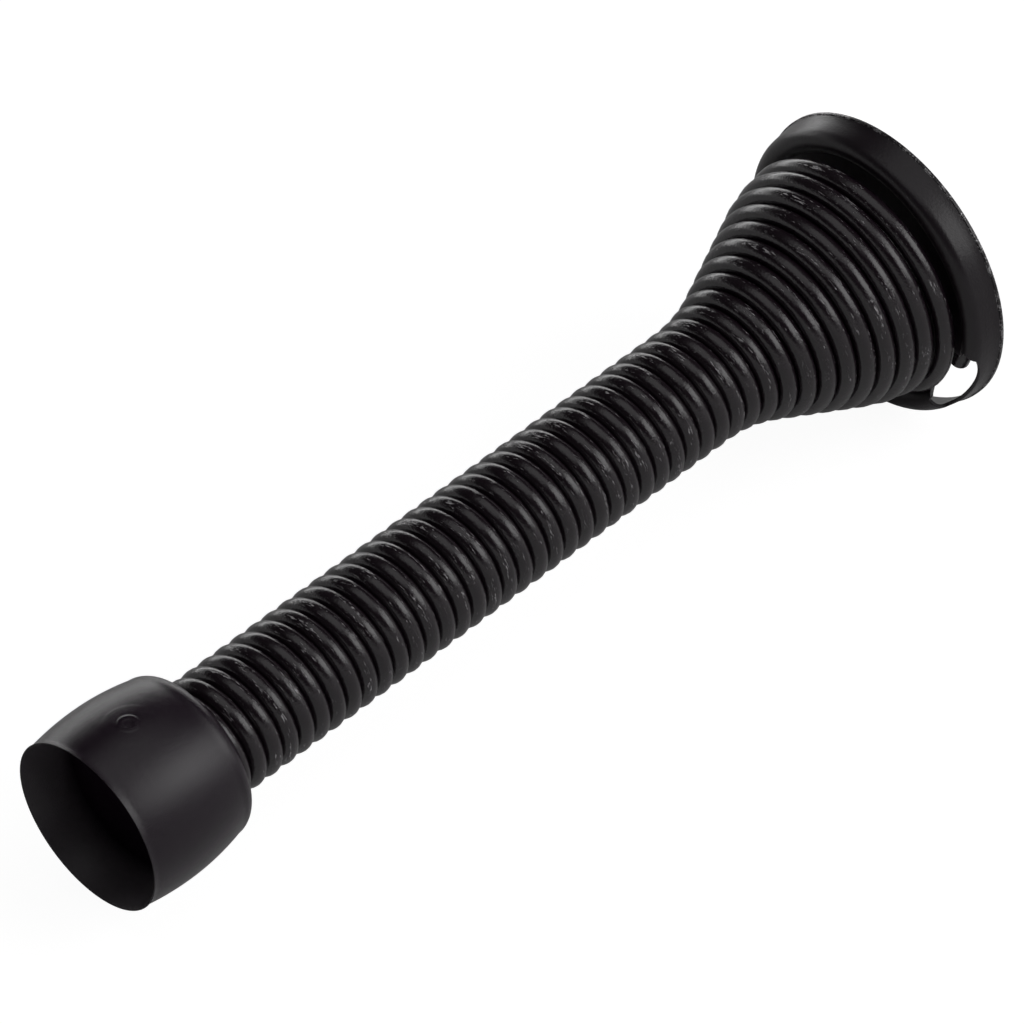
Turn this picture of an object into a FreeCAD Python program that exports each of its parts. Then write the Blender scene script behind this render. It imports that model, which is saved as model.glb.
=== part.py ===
import FreeCAD, Part
import math
import os

import Sketcher

# A spring door stop: a stamped flange that is screwed to a wall, a close-wound wire spring that flares
# towards it and threads through its window, and a hollow rubber tip on the free end.
# Each piece is drawn with its axis along +Z and the wall at z = 0. A turn about X then lays the axis along
# -Y, so that the stop stands out from a wall in the plane y = 0 with +Z up.
# Bearings are angles about the axis, from +X towards the +Y of the drawing, which is +Z of the finished
# part. Going towards the wall, the right-handed wire turns to smaller bearings.

SIZES = (
    ("rim_radius", 12.85, "flange, radius at the wall"),
    ("rim_land", 0.25, "flange, height of the edge strip at the wall"),
    ("rim_step", 0.1, "flange, step from the edge strip to the skirt"),
    ("sheet_thickness", 0.3, "flange, thickness of the sheet"),
    ("skirt_draft", 8.2, "flange, lean of the skirt from the axis, degrees"),
    ("shoulder_radius", 1.0, "flange, outer radius of the shoulder"),
    ("seat_height", 2.2, "flange, height of the flat seat above the wall"),
    ("seat_margin", 2.35, "flange, from the rim in to where the seat turns up to the shoulder"),
    ("dish_angle", 50.0, "flange, rise of the ring around the seat, degrees"),
    ("screw_hole_radius", 2.4, "flange, radius of the screw hole"),
    ("window_bearing", -25.5, "window, bearing of its middle, degrees"),
    ("window_angle", 38.0, "window, opening angle, degrees"),
    ("strip_height", 1.6, "window, height of the strip of skirt left below it"),
    ("entry_slope", 3.2, "window, width of the sloping corner on the side the wire comes from"),
    ("far_corner", 0.6, "window, width of the corner on the other side"),
    ("slot_setback", 5.5, "window, angle that its narrow end starts after its entry, degrees"),
    ("slot_margin", 5.0, "window, angle that its narrow end runs past the dive, degrees"),
    ("wire_diameter", 1.6, "spring, wire"),
    ("coil_gap", 0.04, "spring, gap between neighbouring turns"),
    ("shaft_diameter", 10.0, "spring, outside of the straight shaft"),
    ("shaft_length", 56.45, "spring, length of the straight shaft"),
    ("foot_diameter", 21.0, "spring, outside of the turn in front of the flange"),
    ("foot_gap", 0.36, "spring, gap that opens in front of the turn at the flange"),
    ("foot_spread", 0.7, "spring, how far that turn opens outward before it dives"),
    ("foot_turns", 0.42, "spring, part of a turn over which both open"),
    ("flare_turns", 11.4, "spring, turns in the flare"),
    ("flare_start_share", 0.30, "spring, share of the flare over which it starts to open"),
    ("flare_end_share", 0.25, "spring, share of the flare over which it stops opening"),
    ("lean_angle", 2.4, "spring, lean on the flange, degrees"),
    ("lean_bearing", -77.4, "spring, bearing it leans to, degrees"),
    ("lean_pivot", 24.0, "spring, height at which its axis crosses that of the flange"),
    ("dive_lead", 4.0, "spring, angle from the start of the dive to the end of the window, degrees"),
    ("dive_angle", 55.0, "spring, angle over which the wire dives behind the flange, degrees"),
    ("tail_angle", 288.0, "spring, angle of the turn behind the flange, degrees"),
    ("tail_radius", 10.1, "spring, radius of the wire's centre at its cut end"),
    ("wire_clearance", 0.3, "gap between the wire and the edges of the window"),
    ("foot_clearance", 0.05, "gap between the wire and the faces it lies on"),
    ("tip_length", 11.0, "tip, length"),
    ("lip_flare", 0.04, "tip, rise of the front lip above the waist"),
    ("lip_edge", 0.12, "tip, thickness of the front lip"),
    ("mouth_depth", 2.0, "tip, depth of the funnel inside the lip"),
    ("mouth_taper", 0.95, "tip, how far that funnel narrows"),
    ("waist_drop", 0.32, "tip, drop from the largest radius to the waist behind the lip"),
    ("waist_depth", 0.76, "tip, distance of the waist from the lip"),
    ("waist_share", 0.75, "tip, share of that drop that curves outward"),
    ("barrel_swell", 0.60, "tip, rise of the barrel from its rear round to its largest radius"),
    ("barrel_depth", 4.5, "tip, distance of the largest radius from the lip"),
    ("rear_wall", 2.02, "tip, wall around the socket where the rear round starts"),
    ("rear_round", 1.4, "tip, radius of the rear round"),
    ("cup_depth", 5.4, "tip, depth of the hollow front"),
    ("cup_wall", 1.05, "tip, wall around the floor of the hollow"),
    ("cup_round", 1.2, "tip, radius between the floor and the wall of the hollow"),
    ("web_thickness", 1.0, "tip, wall between the hollow and the socket"),
    ("grip_clearance", 0.03, "gap between the tip's socket and the spring"),
)

# Values that follow from the sizes: places where lines of the half sections meet, and fits between pieces.
DERIVED = (
    ("skirt_foot", "rim_radius - rim_step + rim_land * tan(skirt_draft)"),
    ("seat_radius", "rim_radius - seat_margin"),
    ("skirt_line", "skirt_foot * cos(skirt_draft) - shoulder_radius"),
    ("dish_line", "seat_height * cos(dish_angle) - seat_radius * sin(dish_angle) - shoulder_radius"),
    ("shoulder_turn", "cos(skirt_draft - dish_angle)"),
    ("shoulder_across", "(skirt_line * cos(dish_angle) - dish_line * sin(skirt_draft)) / shoulder_turn"),
    ("shoulder_along", "(dish_line * cos(skirt_draft) + skirt_line * sin(dish_angle)) / shoulder_turn"),
    ("inner_shoulder", "shoulder_radius - sheet_thickness"),
    ("crest_height", "shoulder_along + shoulder_radius"),
    ("under_height", "seat_height - sheet_thickness"),
    ("pitch", "wire_diameter + coil_gap"),
    ("shaft_turns", "shaft_length / pitch"),
    ("foot_radius", "(foot_diameter - wire_diameter) / 2"),
    ("foot_height", "seat_height + wire_diameter / 2 + foot_clearance"),
    ("foot_offset", "(lean_pivot - foot_height) * tan(lean_angle)"),
    ("tail_height", "under_height - wire_diameter / 2 - foot_clearance"),
    ("window_floor", "under_height - sheet_thickness"),
    ("dive_radius", "foot_radius + foot_spread"),
    ("window_inner", "dive_radius - foot_offset - wire_diameter / 2 - wire_clearance"),
    ("slot_outer", "window_inner + wire_diameter + 2 * wire_clearance"),
    ("slot_angle", "window_angle - slot_setback - dive_lead + dive_angle + slot_margin"),
    ("slot_bearing", "window_bearing + window_angle / 2 - slot_setback - slot_angle / 2"),
    ("window_half_width", "(shoulder_across + shoulder_radius) * sin(window_angle / 2)"),
    ("cutter_radius", "rim_radius + sheet_thickness"),
    ("cutter_height", "crest_height + sheet_thickness"),
    ("skirt_cut_height", "shoulder_along + shoulder_radius / 2"),
    ("entry_rise", "skirt_cut_height - strip_height"),
    ("entry_arc", "(entry_slope * entry_slope + entry_rise * entry_rise) / (2 * entry_rise)"),
    ("socket_radius", "shaft_diameter / 2 + grip_clearance"),
    ("socket_depth", "tip_length - cup_depth - web_thickness"),
    ("rear_radius", "socket_radius + rear_wall"),
    ("barrel_radius", "rear_radius + barrel_swell"),
    ("waist_radius", "barrel_radius - waist_drop"),
    ("lip_radius", "waist_radius + lip_flare"),
    ("cup_floor_radius", "waist_radius - cup_wall - cup_round"),
    ("barrel_run", "tip_length - barrel_depth - rear_round"),
    ("barrel_arc", "(barrel_run * barrel_run + barrel_swell * barrel_swell) / (2 * barrel_swell)"),
    ("waist_run", "barrel_depth - waist_depth"),
    ("waist_arc", "(waist_run * waist_run + waist_drop * waist_drop) / (2 * waist_drop)"),
    ("waist_outer_arc", "waist_arc * waist_share"),
    ("waist_inner_arc", "waist_arc * (1 - waist_share)"),
    ("lip_arc", "(waist_depth * waist_depth + lip_flare * lip_flare) / (2 * lip_flare)"),
)

POINTS_PER_TURN = 12

doc = FreeCAD.newDocument("spring_door_stop")
sheet = doc.addObject("Spreadsheet::Sheet", "Sizes")
for row, (alias, value, note) in enumerate(SIZES, start=1):
    sheet.set(f"A{row}", note)
    sheet.set(f"B{row}", str(value))
    sheet.setAlias(f"B{row}", alias)
doc.recompute()
for row, (alias, formula) in enumerate(DERIVED, start=len(SIZES) + 1):
    sheet.set(f"B{row}", f"={formula}")
    sheet.setAlias(f"B{row}", alias)
    doc.recompute()

UPRIGHT_TO_WALL = FreeCAD.Placement(FreeCAD.Vector(), FreeCAD.Rotation(FreeCAD.Vector(1, 0, 0), 90))


def size(alias):
    """One size or derived value as a number."""
    return float(sheet.get(alias))


def radians(alias):
    """One angle in radians."""
    return math.radians(size(alias))


def lean_placement():
    """Lean of the spring about the point where its axis crosses that of the flange."""
    bearing = radians("lean_bearing")
    hinge = FreeCAD.Vector(-math.sin(bearing), math.cos(bearing), 0)
    pivot = FreeCAD.Vector(0, 0, size("lean_pivot"))
    return FreeCAD.Placement(FreeCAD.Vector(), FreeCAD.Rotation(hinge, size("lean_angle")), pivot)


def new_body(label):
    """Body of one sub-part."""
    body = doc.addObject("PartDesign::Body", label)
    body.Label = label
    return body


def new_sketch(body, name, role):
    """Sketch on one of the body's own origin planes."""
    plane = next(item for item in body.Origin.OriginFeatures if item.Role == role)
    sketch = body.newObject("Sketcher::SketchObject", name)
    sketch.AttachmentSupport = [(plane, "")]
    sketch.MapMode = "FlatFace"
    return sketch


def tie(sketch, constraint, expression):
    """Add a driving constraint and bind it to an expression."""
    index = sketch.addConstraint(constraint)
    name = f"size_{index}"
    sketch.renameConstraint(index, name)
    sketch.setExpression(f"Constraints.{name}", expression)


def tie_point(sketch, geometry, point, across, along):
    """Bind one point of a curve to a place across and along the axis."""
    here = sketch.getPoint(geometry, point)
    if across == "0":
        sketch.addConstraint(Sketcher.Constraint("PointOnObject", geometry, point, -2))
    else:
        tie(sketch, Sketcher.Constraint("DistanceX", -1, 1, geometry, point, here.x), across)
    if along == "0":
        sketch.addConstraint(Sketcher.Constraint("PointOnObject", geometry, point, -1))
    else:
        tie(sketch, Sketcher.Constraint("DistanceY", -1, 1, geometry, point, here.y), along)


def arc_between(start, end, radius, side):
    """Short arc of a radius between two points, bulging to the left (+1) or right (-1) of the way along."""
    chord = end - start
    across = FreeCAD.Vector(-chord.y, chord.x, 0).normalize() * side
    reach = math.sqrt(max(radius**2 - (chord.Length / 2) ** 2, 0.0))
    crest = (start + end) * 0.5 + across * (radius - reach)
    return Part.Arc(start, crest, end)


def draw_loop(sketch, corners, arcs):
    """Draw a closed loop with its corners and arcs bound to expressions.

    Each corner is a pair of expressions, across and along the axis. An edge that is an arc is named by the
    corner it starts from, with the expression of its radius and the side it bulges to.
    """

    def value(expression):
        return float(sketch.evalExpression(expression))

    points = [FreeCAD.Vector(value(across), value(along), 0) for across, along in corners]
    for index, start in enumerate(points):
        end = points[(index + 1) % len(points)]
        if index in arcs:
            radius, side = arcs[index]
            sketch.addGeometry(arc_between(start, end, value(radius), side), False)
        else:
            sketch.addGeometry(Part.LineSegment(start, end), False)
    first = []
    for index, start in enumerate(points):
        first.append(1 if sketch.getPoint(index, 1).distanceToPoint(start) < 1e-6 else 2)
    for index in range(len(points)):
        following = (index + 1) % len(points)
        sketch.addConstraint(
            Sketcher.Constraint("Coincident", index, 3 - first[index], following, first[following])
        )
    for index, (across, along) in enumerate(corners):
        tie_point(sketch, index, first[index], across, along)
    for index, (radius, _) in arcs.items():
        tie(sketch, Sketcher.Constraint("Radius", index, value(radius)), radius)


def revolve(body, sketch, name):
    """Full turn of a half section about the body's axis."""
    feature = body.newObject("PartDesign::Revolution", name)
    feature.Profile = sketch
    feature.ReferenceAxis = (sketch, ["V_Axis"])
    feature.Angle = 360
    return feature


def groove(body, sketch, name, angle):
    """Cut swept about the body's axis, half to each side of the sketch."""
    feature = body.newObject("PartDesign::Groove", name)
    feature.Profile = sketch
    feature.ReferenceAxis = (sketch, ["V_Axis"])
    feature.Midplane = True
    feature.setExpression("Angle", angle)
    return feature


def turn_sketch(sketch, bearing):
    """Turn an upright sketch about the axis to a bearing."""
    upright = FreeCAD.Rotation(FreeCAD.Vector(0, 1, 0), 0)
    sketch.AttachmentOffset = FreeCAD.Placement(FreeCAD.Vector(), upright)
    sketch.setExpression("AttachmentOffset.Rotation.Angle", bearing)


# Flange: the half section of the formed sheet, outer line from the rim to the axis and inner line back.
flange = new_body("base_flange")
section = new_sketch(flange, "FlangeSection", "XZ_Plane")
OUTER = "Sizes.shoulder_radius"
INNER = "Sizes.inner_shoulder"
draw_loop(
    section,
    (
        ("Sizes.rim_radius", "0"),
        ("Sizes.rim_radius", "Sizes.rim_land"),
        ("Sizes.rim_radius - Sizes.rim_step", "Sizes.rim_land"),
        (
            f"Sizes.shoulder_across + {OUTER} * cos(Sizes.skirt_draft)",
            f"Sizes.shoulder_along + {OUTER} * sin(Sizes.skirt_draft)",
        ),
        (
            f"Sizes.shoulder_across - {OUTER} * sin(Sizes.dish_angle)",
            f"Sizes.shoulder_along + {OUTER} * cos(Sizes.dish_angle)",
        ),
        ("Sizes.seat_radius", "Sizes.seat_height"),
        ("0", "Sizes.seat_height"),
        ("0", "Sizes.under_height"),
        ("Sizes.seat_radius + Sizes.sheet_thickness * tan(Sizes.dish_angle / 2)", "Sizes.under_height"),
        (
            f"Sizes.shoulder_across - {INNER} * sin(Sizes.dish_angle)",
            f"Sizes.shoulder_along + {INNER} * cos(Sizes.dish_angle)",
        ),
        (
            f"Sizes.shoulder_across + {INNER} * cos(Sizes.skirt_draft)",
            f"Sizes.shoulder_along + {INNER} * sin(Sizes.skirt_draft)",
        ),
        ("Sizes.skirt_foot - Sizes.sheet_thickness / cos(Sizes.skirt_draft)", "0"),
    ),
    {3: (OUTER, -1), 9: (INNER, 1)},
)
revolve(flange, section, "FormedSheet")
doc.recompute()

# Screw hole through the middle of the seat.
hole_sketch = new_sketch(flange, "ScrewHoleSketch", "XY_Plane")
hole_circle = Part.Circle(FreeCAD.Vector(), FreeCAD.Vector(0, 0, 1), size("screw_hole_radius"))
hole_sketch.addGeometry(hole_circle, False)
hole_sketch.addConstraint(Sketcher.Constraint("Coincident", 0, 3, -1, 1))
tie(hole_sketch, Sketcher.Constraint("Radius", 0, size("screw_hole_radius")), "Sizes.screw_hole_radius")
hole = flange.newObject("PartDesign::Pocket", "ScrewHole")
hole.Profile = hole_sketch
hole.Type = 1
hole.Midplane = True
doc.recompute()

# Window: the front face and the shoulder are cut away over its opening angle.
window_sketch = new_sketch(flange, "WindowSketch", "XZ_Plane")
turn_sketch(window_sketch, "Sizes.window_bearing")
FACE_EDGE = "Sizes.slot_outer - Sizes.foot_clearance"
draw_loop(
    window_sketch,
    (
        (FACE_EDGE, "Sizes.window_floor"),
        ("Sizes.shoulder_across", "Sizes.window_floor"),
        ("Sizes.shoulder_across", "Sizes.skirt_cut_height"),
        ("Sizes.cutter_radius", "Sizes.skirt_cut_height"),
        ("Sizes.cutter_radius", "Sizes.cutter_height"),
        (FACE_EDGE, "Sizes.cutter_height"),
    ),
    {},
)
groove(flange, window_sketch, "Window", "Sizes.window_angle")
doc.recompute()

# The skirt below the window is cut down to a strip, with a sloping corner on the side the wire comes from.
skirt_sketch = new_sketch(flange, "SkirtCutSketch", "YZ_Plane")
turn_sketch(skirt_sketch, "Sizes.window_bearing")
skirt_sketch.setExpression("AttachmentOffset.Base.x", "Sizes.cutter_radius * sin(Sizes.window_bearing)")
skirt_sketch.setExpression("AttachmentOffset.Base.z", "Sizes.cutter_radius * cos(Sizes.window_bearing)")
draw_loop(
    skirt_sketch,
    (
        ("Sizes.window_half_width", "Sizes.skirt_cut_height"),
        ("Sizes.window_half_width - Sizes.entry_slope", "Sizes.strip_height"),
        ("Sizes.far_corner - Sizes.window_half_width", "Sizes.strip_height"),
        ("-Sizes.window_half_width", "Sizes.strip_height + Sizes.far_corner"),
        ("-Sizes.window_half_width", "Sizes.cutter_height"),
        ("Sizes.window_half_width", "Sizes.cutter_height"),
    ),
    {0: ("Sizes.entry_arc", 1), 2: ("Sizes.far_corner", 1)},
)
skirt_cut = flange.newObject("PartDesign::Pocket", "SkirtCut")
skirt_cut.Profile = skirt_sketch
skirt_cut.setExpression("Length", f"Sizes.cutter_radius - ({FACE_EDGE})")
doc.recompute()

# The narrow end of the window, hidden under the coil, where the wire dives behind the front face.
slot_sketch = new_sketch(flange, "SlotSketch", "XZ_Plane")
turn_sketch(slot_sketch, "Sizes.slot_bearing")
draw_loop(
    slot_sketch,
    (
        ("Sizes.window_inner", "Sizes.window_floor"),
        ("Sizes.slot_outer", "Sizes.window_floor"),
        ("Sizes.slot_outer", "Sizes.cutter_height"),
        ("Sizes.window_inner", "Sizes.cutter_height"),
    ),
    {},
)
groove(flange, slot_sketch, "WindowSlot", "Sizes.slot_angle")
flange.Placement = UPRIGHT_TO_WALL
doc.recompute()


def flare_opening(place):
    """Share of the flare's opening that is done at a place from 0, the shaft, to 1, the foot."""
    start = size("flare_start_share")
    end = size("flare_end_share")
    whole = 1 - start / 2 - end / 2
    if place < start:
        done = place**2 / (2 * start)
    elif place < 1 - end:
        done = place - start / 2
    else:
        done = whole - (1 - place) ** 2 / (2 * end)
    return done / whole


def coil_radius(turns_up):
    """Radius of the wire's centre at a number of turns above the start of the dive."""
    shaft_radius = (size("shaft_diameter") - size("wire_diameter")) / 2
    place = 1 - turns_up / size("flare_turns")
    opening = flare_opening(min(max(place, 0.0), 1.0))
    return shaft_radius + (size("foot_radius") - shaft_radius) * opening


LEAN = lean_placement()
PITCH = size("pitch")
STEP = 1.0 / POINTS_PER_TURN
DIVE_BEARING = radians("window_bearing") - radians("window_angle") / 2 + radians("dive_lead")


def polar(radius, bearing, height):
    """Point at a radius, bearing and height."""
    return FreeCAD.Vector(radius * math.cos(bearing), radius * math.sin(bearing), height)


def foot_level():
    """Height, before the lean, at which the wire starts to dive so that it clears the seat after it."""
    slant = size("dive_radius") * math.cos(DIVE_BEARING - radians("lean_bearing"))
    rise = size("foot_height") - size("lean_pivot") + slant * math.sin(radians("lean_angle"))
    return size("lean_pivot") + rise / math.cos(radians("lean_angle"))


def coil_points():
    """Points of the wire's centre from the start of the dive up to the free end, before the lean."""
    height = foot_level()
    points = [polar(size("dive_radius"), DIVE_BEARING, height)]
    whole = size("flare_turns") + size("shaft_turns")
    steps = math.ceil(whole / STEP)
    stride = whole / steps
    for index in range(1, steps + 1):
        growth = (coil_radius((index - 1) * stride) - coil_radius(index * stride)) / stride
        height += math.sqrt(PITCH**2 - growth**2) * stride
        turns_up = index * stride
        closed = min(turns_up / size("foot_turns"), 1.0)
        radius = coil_radius(turns_up) + size("foot_spread") * (1 - closed) ** 2
        bearing = DIVE_BEARING + 2 * math.pi * turns_up
        points.append(polar(radius, bearing, height + size("foot_gap") * closed))
    return points


def tail_points():
    """Points of the wire's centre from the dive to the cut end behind the front face."""
    dive = radians("dive_angle")
    whole = dive + radians("tail_angle")
    steps = math.ceil(whole / (2 * math.pi * STEP))
    start = LEAN.multVec(polar(size("dive_radius"), DIVE_BEARING, foot_level()))
    start_radius = math.hypot(start.x, start.y)
    points = []
    for index in range(1, steps + 1):
        share = index / steps
        angle = whole * share
        sinking = min(angle / dive, 1.0)
        blend = sinking**2 * (3 - 2 * sinking)
        above = foot_level() - PITCH * angle / (2 * math.pi)
        leaning = LEAN.multVec(polar(size("dive_radius"), DIVE_BEARING - angle, above))
        radius = start_radius + (size("tail_radius") - start_radius) * share**2
        flat = polar(radius, DIVE_BEARING - angle, size("tail_height"))
        points.append(leaning * (1 - blend) + flat * blend)
    return points


# Spring: one round wire swept along its centre line, from the free end in the tip to the cut end.
coil = coil_points()
free_end_height = coil[-1].z
centre_line = [LEAN.multVec(point) for point in reversed(coil)] + tail_points()
centre_line = [UPRIGHT_TO_WALL.multVec(point) for point in centre_line]
curve = Part.BSplineCurve()
curve.interpolate(Points=centre_line, Parameters=[float(index) for index in range(len(centre_line))])
last = len(centre_line) - 1
breaks = list(range(0, last - POINTS_PER_TURN // 2, POINTS_PER_TURN)) + [last]
path = doc.addObject("Part::Feature", "WirePath")
path.Shape = Part.Wire([Part.Edge(curve, first, after) for first, after in zip(breaks, breaks[1:])])

wire_section = doc.addObject("Part::Circle", "WireSection")
wire_section.setExpression("Radius", "Sizes.wire_diameter / 2")
wire_section.Placement = FreeCAD.Placement(
    centre_line[0], FreeCAD.Rotation(FreeCAD.Vector(0, 0, 1), curve.tangent(0.0)[0])
)
doc.recompute()
spring = doc.addObject("Part::Sweep", "spring")
spring.Label = "spring"
spring.Sections = [wire_section]
spring.Spine = (path, [f"Edge{index}" for index in range(1, len(breaks))])
spring.Solid = True
spring.Frenet = True
doc.recompute()

# Tip: the half section of the moulding, from the mouth of the socket round the outside to the hollow front.
tip = new_body("bumper_tip")
tip_section = new_sketch(tip, "TipSection", "XZ_Plane")
BARREL = "Sizes.tip_length - Sizes.barrel_depth"
CUP_FLOOR = "Sizes.tip_length - Sizes.cup_depth"
draw_loop(
    tip_section,
    (
        ("Sizes.socket_radius", "0"),
        ("Sizes.rear_radius - Sizes.rear_round", "0"),
        ("Sizes.rear_radius", "Sizes.rear_round"),
        ("Sizes.barrel_radius", BARREL),
        (
            "Sizes.barrel_radius - Sizes.waist_drop * Sizes.waist_share",
            f"{BARREL} + Sizes.waist_run * Sizes.waist_share",
        ),
        ("Sizes.waist_radius", "Sizes.tip_length - Sizes.waist_depth"),
        ("Sizes.lip_radius", "Sizes.tip_length"),
        ("Sizes.lip_radius - Sizes.lip_edge", "Sizes.tip_length"),
        (
            "Sizes.lip_radius - Sizes.lip_edge - Sizes.mouth_taper",
            "Sizes.tip_length - Sizes.mouth_depth",
        ),
        ("Sizes.cup_floor_radius + Sizes.cup_round", f"{CUP_FLOOR} + Sizes.cup_round"),
        ("Sizes.cup_floor_radius", CUP_FLOOR),
        ("0", CUP_FLOOR),
        ("0", "Sizes.socket_depth"),
        ("Sizes.socket_radius", "Sizes.socket_depth"),
    ),
    {
        1: ("Sizes.rear_round", -1),
        2: ("Sizes.barrel_arc", -1),
        3: ("Sizes.waist_outer_arc", -1),
        4: ("Sizes.waist_inner_arc", 1),
        5: ("Sizes.lip_arc", 1),
        9: ("Sizes.cup_round", 1),
    },
)
revolve(tip, tip_section, "Moulding")
tip_height = free_end_height + size("wire_diameter") / 2 + size("foot_clearance") - size("socket_depth")
along_axis = FreeCAD.Placement(FreeCAD.Vector(0, 0, tip_height), FreeCAD.Rotation())
tip.Placement = UPRIGHT_TO_WALL.multiply(LEAN).multiply(along_axis)
doc.recompute()

for item in doc.Objects:
    if "Invalid" in item.State or "Error" in item.State:
        raise RuntimeError(f"{item.Label} did not build: {item.State}")

os.makedirs("parts", exist_ok=True)
for piece in (flange, spring, tip):
    if piece.Shape.isNull() or not piece.Shape.isValid():
        raise RuntimeError(f"{piece.Label} has no valid shape")
    piece.Shape.exportStep(f"parts/{piece.Label}.step")
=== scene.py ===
"""Visual model of a spring door stop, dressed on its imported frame.

A close-wound wire spring flares towards a stamped wall flange, threads through the flange's window and
carries a hollow rubber tip on its free end. Lengths are in metres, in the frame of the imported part: the wall
is the plane y = 0, the stop stands out along -Y and +Z is up.
"""

import logging
import math
from dataclasses import dataclass, field, replace
from enum import Enum

import bmesh
import bpy
from mathutils import Matrix, Vector


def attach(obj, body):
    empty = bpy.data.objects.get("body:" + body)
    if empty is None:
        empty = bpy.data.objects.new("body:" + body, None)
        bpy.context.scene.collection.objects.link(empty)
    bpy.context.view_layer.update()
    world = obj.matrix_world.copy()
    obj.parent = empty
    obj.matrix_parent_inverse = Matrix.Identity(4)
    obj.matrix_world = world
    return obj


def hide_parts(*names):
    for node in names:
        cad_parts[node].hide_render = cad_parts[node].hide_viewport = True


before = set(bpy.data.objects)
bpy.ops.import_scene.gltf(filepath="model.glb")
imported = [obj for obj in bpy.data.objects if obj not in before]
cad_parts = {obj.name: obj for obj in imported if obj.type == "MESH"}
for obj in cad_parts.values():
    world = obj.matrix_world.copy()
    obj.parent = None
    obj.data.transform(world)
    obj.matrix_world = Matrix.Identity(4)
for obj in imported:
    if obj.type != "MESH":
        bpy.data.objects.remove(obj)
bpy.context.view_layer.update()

LOG = logging.getLogger("spring_door_stop")

MM = 0.001
FULL_TURN = 2 * math.pi
ORIGIN = (0.0, 0.0, 0.0)
BODY = "root"

Colour = tuple[float, float, float]
Point = tuple[float, float]
Place = tuple[float, float, float]


class Node(Enum):
    """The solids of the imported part, each with the slot of its finish."""

    FLANGE = ("base_flange", "flange")
    SPRING = ("spring", "spring")
    TIP = ("bumper_tip", "tip")

    @property
    def solid(self) -> str:
        """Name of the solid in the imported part."""
        return self.value[0]

    @property
    def slot(self) -> str:
        """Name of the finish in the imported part's record."""
        return self.value[1]


class Mark(Enum):
    """Attributes that the pieces carry for their finishes."""

    OUTWARD = "outward"
    LENGTH = "length"
    WIRE = "wire_place"
    CREST = "wire_crest"
    HOLLOW = "tip_hollow"


class MixKind(Enum):
    """What a Mix node mixes: its data type, the places of its two inputs and that of its output."""

    VECTOR = ("VECTOR", 4, 5, 1)
    COLOUR = ("RGBA", 6, 7, 2)


class Field:
    """A socket of a node tree that takes part in arithmetic."""

    def __init__(self, tree: bpy.types.NodeTree, socket: bpy.types.NodeSocket) -> None:
        """Hold one output socket of a tree.

        Args:
            tree: Tree that new nodes go into.
            socket: Output whose value this stands for.
        """
        self.tree = tree
        self.socket = socket

    def node(self, operation: str, *others: "Field | float") -> "Field":
        """Put this value and others through one Math node.

        Args:
            operation: Operation of the Math node.
            others: Second and third values.

        Returns:
            The result as a field.
        """
        maths = self.tree.nodes.new("ShaderNodeMath")
        maths.operation = operation
        self.tree.links.new(self.socket, maths.inputs[0])
        for socket, other in zip(maths.inputs[1:], others):
            feed(self.tree, socket, other)
        return Field(self.tree, maths.outputs[0])

    def __add__(self, other: "Field | float") -> "Field":
        """Sum."""
        return self.node("ADD", other)

    def __sub__(self, other: "Field | float") -> "Field":
        """Difference."""
        return self.node("SUBTRACT", other)

    def __mul__(self, other: "Field | float") -> "Field":
        """Product."""
        return self.node("MULTIPLY", other)

    def __truediv__(self, other: "Field | float") -> "Field":
        """Quotient."""
        return self.node("DIVIDE", other)

    def __neg__(self) -> "Field":
        """Opposite."""
        return self.node("MULTIPLY", -1.0)

    def at_most(self, other: "Field | float") -> "Field":
        """Lesser of two values."""
        return self.node("MINIMUM", other)

    def at_least(self, other: "Field | float") -> "Field":
        """Greater of two values."""
        return self.node("MAXIMUM", other)

    def squared(self) -> "Field":
        """Value times itself."""
        return self.node("MULTIPLY", self)

    def rest(self) -> "Field":
        """What this value leaves of 1."""
        return -self + 1.0

    def ramp(self, low: "Field | float", high: "Field | float") -> "Field":
        """Smooth step from 0 at the low value to 1 at the high value.

        Args:
            low: Value that gives 0.
            high: Value that gives 1.

        Returns:
            The step as a field.
        """
        node = self.tree.nodes.new("ShaderNodeMapRange")
        node.interpolation_type = "SMOOTHSTEP"
        self.tree.links.new(self.socket, node.inputs["Value"])
        feed(self.tree, node.inputs["From Min"], low)
        feed(self.tree, node.inputs["From Max"], high)
        return Field(self.tree, node.outputs["Result"])


def feed(tree: bpy.types.NodeTree, socket: bpy.types.NodeSocket, value: object) -> None:
    """Give an input socket a linked or a plain value.

    Args:
        tree: Tree that the socket is in.
        socket: Input to set.
        value: A field, an output socket, or a plain value.
    """
    if isinstance(value, Field):
        tree.links.new(value.socket, socket)
    elif isinstance(value, bpy.types.NodeSocket):
        tree.links.new(value, socket)
    else:
        socket.default_value = value


def opaque(colour: Colour) -> tuple[float, float, float, float]:
    """A colour with full cover."""
    return (*colour, 1.0)


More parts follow.
